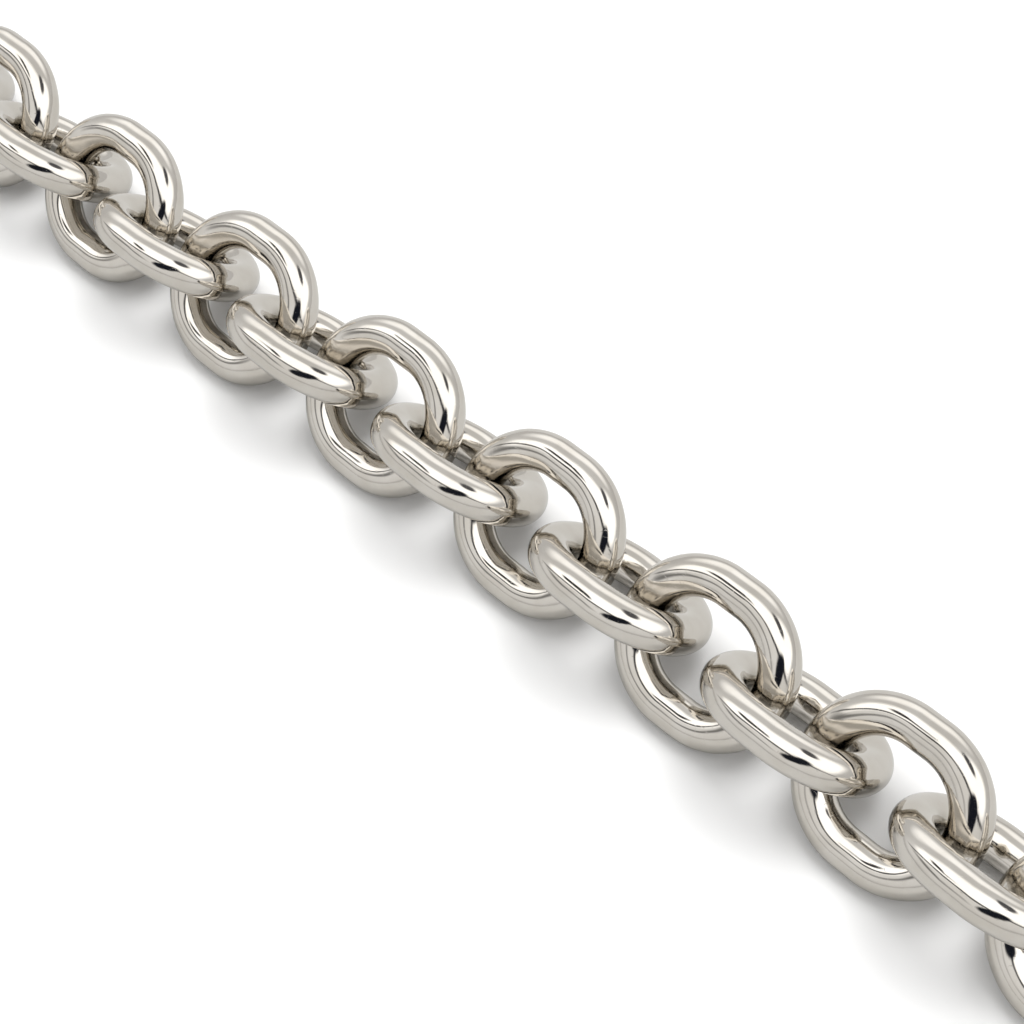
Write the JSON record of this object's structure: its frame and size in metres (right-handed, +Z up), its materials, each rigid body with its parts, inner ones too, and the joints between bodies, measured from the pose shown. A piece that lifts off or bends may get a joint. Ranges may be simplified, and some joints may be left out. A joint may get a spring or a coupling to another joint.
{
  "type": "aluminium link chain",
  "caption": "Straight run of short round-wire aluminium chain. Its links lean left and right in turn, lie on the floor and swing on each other.",
  "frame": {"origin": "on the floor under the middle of the run", "axes": "+X along the run towards its first link, +Z up"},
  "size_m": [0.3096, 0.0164, 0.0163],
  "materials": {
    "aluminium": "polished"
  },
  "bodies": {
    "link_01": {"link_01": "aluminium"},
    "link_02": {"link_02": "aluminium"},
    "link_03": {"link_03": "aluminium"},
    "link_04": {"link_04": "aluminium"},
    "link_05": {"link_05": "aluminium"},
    "link_06": {"link_06": "aluminium"},
    "link_07": {"link_07": "aluminium"},
    "link_08": {"link_08": "aluminium"},
    "link_09": {"link_09": "aluminium"},
    "link_10": {"link_10": "aluminium"},
    "link_11": {"link_11": "aluminium"},
    "link_12": {"link_12": "aluminium"},
    "link_13": {"link_13": "aluminium"},
    "link_14": {"link_14": "aluminium"},
    "link_15": {"link_15": "aluminium"},
    "link_16": {"link_16": "aluminium"},
    "link_17": {"link_17": "aluminium"},
    "link_18": {"link_18": "aluminium"},
    "link_19": {"link_19": "aluminium"},
    "link_20": {"link_20": "aluminium"},
    "link_21": {"link_21": "aluminium"},
    "link_22": {"link_22": "aluminium"},
    "link_23": {"link_23": "aluminium"}
  },
  "joints": [
    {"name": "link_01_swing", "type": "hinge", "parent": "link_02", "child": "link_01", "pos_m": [0.13925, 0, 0.00816], "axis": [0, 0.7071, 0.7071], "range_deg": [-75, 75]},
    {"name": "link_02_swing", "type": "hinge", "parent": "link_03", "child": "link_02", "pos_m": [0.12625, 0, 0.00816], "axis": [0, -0.7071, 0.7071], "range_deg": [-75, 75]},
    {"name": "link_03_swing", "type": "hinge", "parent": "link_04", "child": "link_03", "pos_m": [0.11325, 0, 0.00816], "axis": [0, -0.7071, -0.7071], "range_deg": [-75, 75]},
    {"name": "link_04_swing", "type": "hinge", "parent": "link_05", "child": "link_04", "pos_m": [0.10025, 0, 0.00816], "axis": [0, 0.7071, -0.7071], "range_deg": [-75, 75]},
    {"name": "link_05_swing", "type": "hinge", "parent": "link_06", "child": "link_05", "pos_m": [0.08725, 0, 0.00816], "axis": [0, 0.7071, 0.7071], "range_deg": [-75, 75]},
    {"name": "link_06_swing", "type": "hinge", "parent": "link_07", "child": "link_06", "pos_m": [0.07425, 0, 0.00816], "axis": [0, -0.7071, 0.7071], "range_deg": [-75, 75]},
    {"name": "link_07_swing", "type": "hinge", "parent": "link_08", "child": "link_07", "pos_m": [0.06125, 0, 0.00816], "axis": [0, -0.7071, -0.7071], "range_deg": [-75, 75]},
    {"name": "link_08_swing", "type": "hinge", "parent": "link_09", "child": "link_08", "pos_m": [0.04825, 0, 0.00816], "axis": [0, 0.7071, -0.7071], "range_deg": [-75, 75]},
    {"name": "link_09_swing", "type": "hinge", "parent": "link_10", "child": "link_09", "pos_m": [0.03525, 0, 0.00816], "axis": [0, 0.7071, 0.7071], "range_deg": [-75, 75]},
    {"name": "link_10_swing", "type": "hinge", "parent": "link_11", "child": "link_10", "pos_m": [0.02225, 0, 0.00816], "axis": [0, -0.7071, 0.7071], "range_deg": [-75, 75]},
    {"name": "link_11_swing", "type": "hinge", "parent": "link_12", "child": "link_11", "pos_m": [0.00925, 0, 0.00816], "axis": [0, -0.7071, -0.7071], "range_deg": [-75, 75]},
    {"name": "link_12_swing", "type": "hinge", "parent": "link_13", "child": "link_12", "pos_m": [-0.00375, 0, 0.00816], "axis": [0, 0.7071, -0.7071], "range_deg": [-75, 75]},
    {"name": "link_13_swing", "type": "hinge", "parent": "link_14", "child": "link_13", "pos_m": [-0.01675, 0, 0.00816], "axis": [0, 0.7071, 0.7071], "range_deg": [-75, 75]},
    {"name": "link_14_swing", "type": "hinge", "parent": "link_15", "child": "link_14", "pos_m": [-0.02975, 0, 0.00816], "axis": [0, -0.7071, 0.7071], "range_deg": [-75, 75]},
    {"name": "link_15_swing", "type": "hinge", "parent": "link_16", "child": "link_15", "pos_m": [-0.04275, 0, 0.00816], "axis": [0, -0.7071, -0.7071], "range_deg": [-75, 75]},
    {"name": "link_16_swing", "type": "hinge", "parent": "link_17", "child": "link_16", "pos_m": [-0.05575, 0, 0.00816], "axis": [0, 0.7071, -0.7071], "range_deg": [-75, 75]},
    {"name": "link_17_swing", "type": "hinge", "parent": "link_18", "child": "link_17", "pos_m": [-0.06875, 0, 0.00816], "axis": [0, 0.7071, 0.7071], "range_deg": [-75, 75]},
    {"name": "link_18_swing", "type": "hinge", "parent": "link_19", "child": "link_18", "pos_m": [-0.08175, 0, 0.00816], "axis": [0, -0.7071, 0.7071], "range_deg": [-75, 75]},
    {"name": "link_19_swing", "type": "hinge", "parent": "link_20", "child": "link_19", "pos_m": [-0.09475, 0, 0.00816], "axis": [0, -0.7071, -0.7071], "range_deg": [-75, 75]},
    {"name": "link_20_swing", "type": "hinge", "parent": "link_21", "child": "link_20", "pos_m": [-0.10775, 0, 0.00816], "axis": [0, 0.7071, -0.7071], "range_deg": [-75, 75]},
    {"name": "link_21_swing", "type": "hinge", "parent": "link_22", "child": "link_21", "pos_m": [-0.12075, 0, 0.00816], "axis": [0, 0.7071, 0.7071], "range_deg": [-75, 75]},
    {"name": "link_22_swing", "type": "hinge", "parent": "link_23", "child": "link_22", "pos_m": [-0.13375, 0, 0.00816], "axis": [0, -0.7071, 0.7071], "range_deg": [-75, 75]}
  ]
}
